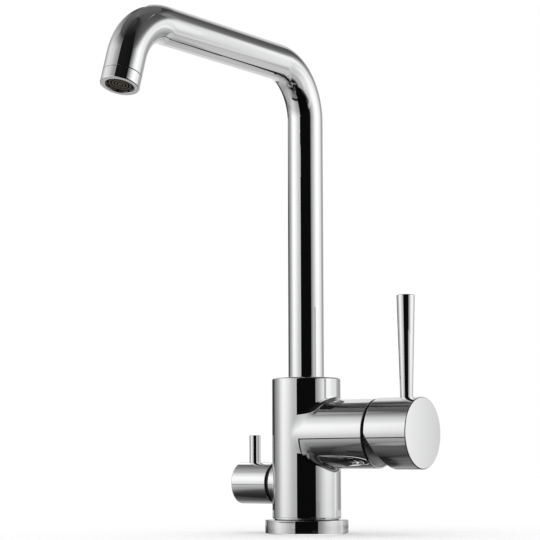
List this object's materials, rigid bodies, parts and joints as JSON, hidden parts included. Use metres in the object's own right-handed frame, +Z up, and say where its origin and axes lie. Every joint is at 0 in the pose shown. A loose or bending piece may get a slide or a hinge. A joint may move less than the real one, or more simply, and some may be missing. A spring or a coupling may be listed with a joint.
{
  "type": "kitchen mixer tap",
  "caption": "Chrome single-lever kitchen mixer tap: column on a base ring, high swivelling tube spout, side lever with an upright rod and a dishwasher shut-off knob.",
  "frame": {"origin": "middle of the base, on the worktop's surface", "axes": "+Z up along the column and the riser, -Y towards the spout's outlet and the sink, +X along the lever's branch"},
  "size_m": [0.1423, 0.2426, 0.3272],
  "materials": {
    "chrome": "polished",
    "brass": "turned",
    "steel": "plain",
    "rubber": "matt",
    "dark_plastic": "moulded",
    "pale_plastic": "moulded",
    "ceramic": "ground"
  },
  "bodies": {
    "tap_body": {"main_body": "chrome", "inlet_block": "brass", "base_ring": "chrome", "base_gasket": "rubber", "cartridge_base": "pale_plastic", "cartridge_seals": "rubber", "cartridge_housing": "pale_plastic", "fixed_disc": "ceramic", "cartridge_nut": "brass", "dome_cover": "chrome", "spout_glide_ring": "pale_plastic", "spout_thrust_washer": "pale_plastic", "spout_stop_screw": "steel", "valve_body": "brass", "valve_fixed_disc": "ceramic", "valve_seat_seal": "rubber", "valve_spindle_seal": "rubber", "valve_spacer": "dark_plastic"},
    "spout": {"spout_tube": "chrome", "spout_shank": "brass", "spout_seals": "rubber", "aerator_sleeve": "chrome", "aerator_insert": "dark_plastic", "aerator_washer": "rubber"},
    "cartridge_turn": {"cartridge_rotor": "pale_plastic", "pivot_pin": "steel"},
    "flow_disc": {"moving_disc": "ceramic", "disc_carrier": "pale_plastic"},
    "lever": {"lever_stem": "brass", "handle_hub": "chrome", "lever_rod": "chrome", "hub_screw": "steel"},
    "dishwasher_knob": {"valve_spindle": "brass", "valve_turning_disc": "ceramic", "valve_knob": "chrome", "valve_pin": "chrome", "valve_knob_screw": "steel"}
  },
  "joints": [
    {"name": "spout_swing", "type": "hinge", "parent": "tap_body", "child": "spout", "pos_m": [0, 0, 0.1], "axis": [0, 0, 1], "range_deg": [-60, 60]},
    {"name": "lever_turn", "type": "hinge", "parent": "tap_body", "child": "cartridge_turn", "pos_m": [0.049, 0, 0.066], "axis": [1, 0, 0], "range_deg": [-45, 45]},
    {"name": "lever_tilt", "type": "hinge", "parent": "cartridge_turn", "child": "lever", "pos_m": [0.049, 0, 0.066], "axis": [0, 1, 0], "range_deg": [0, 25]},
    {"name": "disc_slide", "type": "slide", "parent": "cartridge_turn", "child": "flow_disc", "axis": [0, 0, 1], "range_m": [0, 0.00411]},
    {"name": "valve_turn", "type": "hinge", "parent": "tap_body", "child": "dishwasher_knob", "pos_m": [-0.03, 0, 0.0334], "axis": [1, 0, 0], "range_deg": [0, 90]}
  ],
  "couplings": [
    {"joint": "disc_slide", "follows": "lever_tilt", "m_per_rad": 0.0094}
  ]
}
